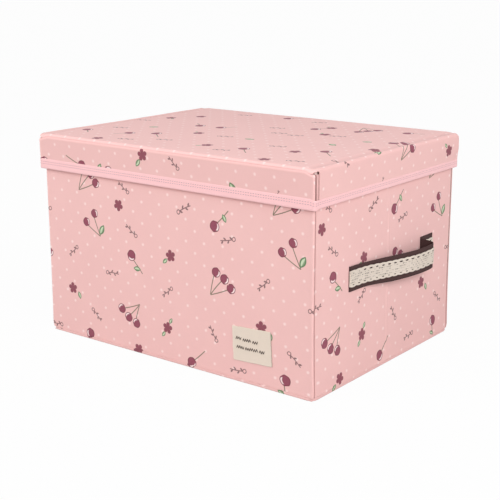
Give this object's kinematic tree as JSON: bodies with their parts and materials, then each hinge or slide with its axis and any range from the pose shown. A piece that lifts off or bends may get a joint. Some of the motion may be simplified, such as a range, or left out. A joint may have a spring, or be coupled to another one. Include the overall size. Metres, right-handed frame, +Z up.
{
  "type": "foldable storage box",
  "caption": "Oblong cloth-covered storage box with a lift-off lid and ribbon handles; its end walls fold inwards so that the case lies flat.",
  "frame": {"origin": "centre of the base, on the surface that the box stands on", "axes": "+X along the long side, -Y towards the front with the label, +Z up"},
  "size_m": [0.4256, 0.3048, 0.25],
  "materials": {
    "printed_cloth": "pink printed cloth",
    "lining_cloth": "plain non-woven lining",
    "pink_ribbon": "pale pink binding ribbon",
    "brown_ribbon": "dark brown grosgrain ribbon",
    "lace": "cream crochet lace",
    "label_cloth": "beige linen",
    "greyboard": "grey pulp board"
  },
  "bodies": {
    "root": {"rear_wall_board": "greyboard", "rear_wall_cloth": "printed_cloth", "rear_wall_lining": "lining_cloth", "rear_wall_rim_binding": "pink_ribbon", "base_cloth": "printed_cloth", "base_edge_welt": "lining_cloth"},
    "right_end_rear": {"right_end_rear_board": "greyboard", "right_end_rear_cloth": "printed_cloth", "right_end_rear_lining": "lining_cloth", "right_end_rear_rim_binding": "pink_ribbon", "right_handle_strap": "brown_ribbon", "right_handle_lace": "lace"},
    "right_end_front": {"right_end_front_board": "greyboard", "right_end_front_cloth": "printed_cloth", "right_end_front_lining": "lining_cloth", "right_end_front_rim_binding": "pink_ribbon"},
    "front_wall": {"front_wall_board": "greyboard", "front_wall_cloth": "printed_cloth", "front_wall_lining": "lining_cloth", "front_wall_rim_binding": "pink_ribbon", "label": "label_cloth"},
    "left_end_rear": {"left_end_rear_board": "greyboard", "left_end_rear_cloth": "printed_cloth", "left_end_rear_lining": "lining_cloth", "left_end_rear_rim_binding": "pink_ribbon", "left_handle_strap": "brown_ribbon", "left_handle_lace": "lace"},
    "left_end_front": {"left_end_front_board": "greyboard", "left_end_front_cloth": "printed_cloth", "left_end_front_lining": "lining_cloth", "left_end_front_rim_binding": "pink_ribbon"},
    "lid": {"lid_top_board": "greyboard", "lid_front_skirt_board": "greyboard", "lid_rear_skirt_board": "greyboard", "lid_left_skirt_board": "greyboard", "lid_right_skirt_board": "greyboard", "lid_cloth": "printed_cloth", "lid_front_skirt_cloth": "printed_cloth", "lid_rear_skirt_cloth": "printed_cloth", "lid_corner_tucks": "printed_cloth", "lid_lining": "lining_cloth", "lid_binding": "pink_ribbon"},
    "base_board": {"base_board": "greyboard", "base_board_cover": "lining_cloth"}
  },
  "joints": [
    {"name": "case_fold", "type": "hinge", "parent": "root", "child": "right_end_rear", "pos_m": [0.1946, 0.1446, 0], "axis": [0, 0, -1], "range_deg": [0, 84]},
    {"name": "right_crease", "type": "hinge", "parent": "right_end_rear", "child": "right_end_front", "pos_m": [0.1985, 0, 0], "axis": [0, 0, 1], "range_deg": [0, 168], "deforming": ["right_handle_strap", "right_handle_lace"]},
    {"name": "front_right_corner", "type": "hinge", "parent": "right_end_front", "child": "front_wall", "pos_m": [0.1946, -0.1446, 0], "axis": [0, 0, -1], "range_deg": [0, 84]},
    {"name": "left_rear_corner", "type": "hinge", "parent": "root", "child": "left_end_rear", "pos_m": [-0.1946, 0.1446, 0], "axis": [0, 0, 1], "range_deg": [0, 84]},
    {"name": "left_crease", "type": "hinge", "parent": "left_end_rear", "child": "left_end_front", "pos_m": [-0.1985, 0, 0], "axis": [0, 0, -1], "range_deg": [0, 168], "deforming": ["left_handle_strap", "left_handle_lace"]},
    {"name": "lid_lift", "type": "slide", "parent": "root", "child": "lid", "axis": [0, 0, 1], "range_m": [0, 0.45]},
    {"name": "base_board_lift", "type": "slide", "parent": "root", "child": "base_board", "axis": [0, 0, 1], "range_m": [0, 0.27]}
  ],
  "couplings": [
    {"joint": "right_crease", "follows": "case_fold", "ratio": 2},
    {"joint": "front_right_corner", "follows": "case_fold", "ratio": 1},
    {"joint": "left_rear_corner", "follows": "case_fold", "ratio": 1},
    {"joint": "left_crease", "follows": "case_fold", "ratio": 2},
    {"joint": "base_board_lift", "follows": "lid_lift", "ratio": 0.6}
  ]
}
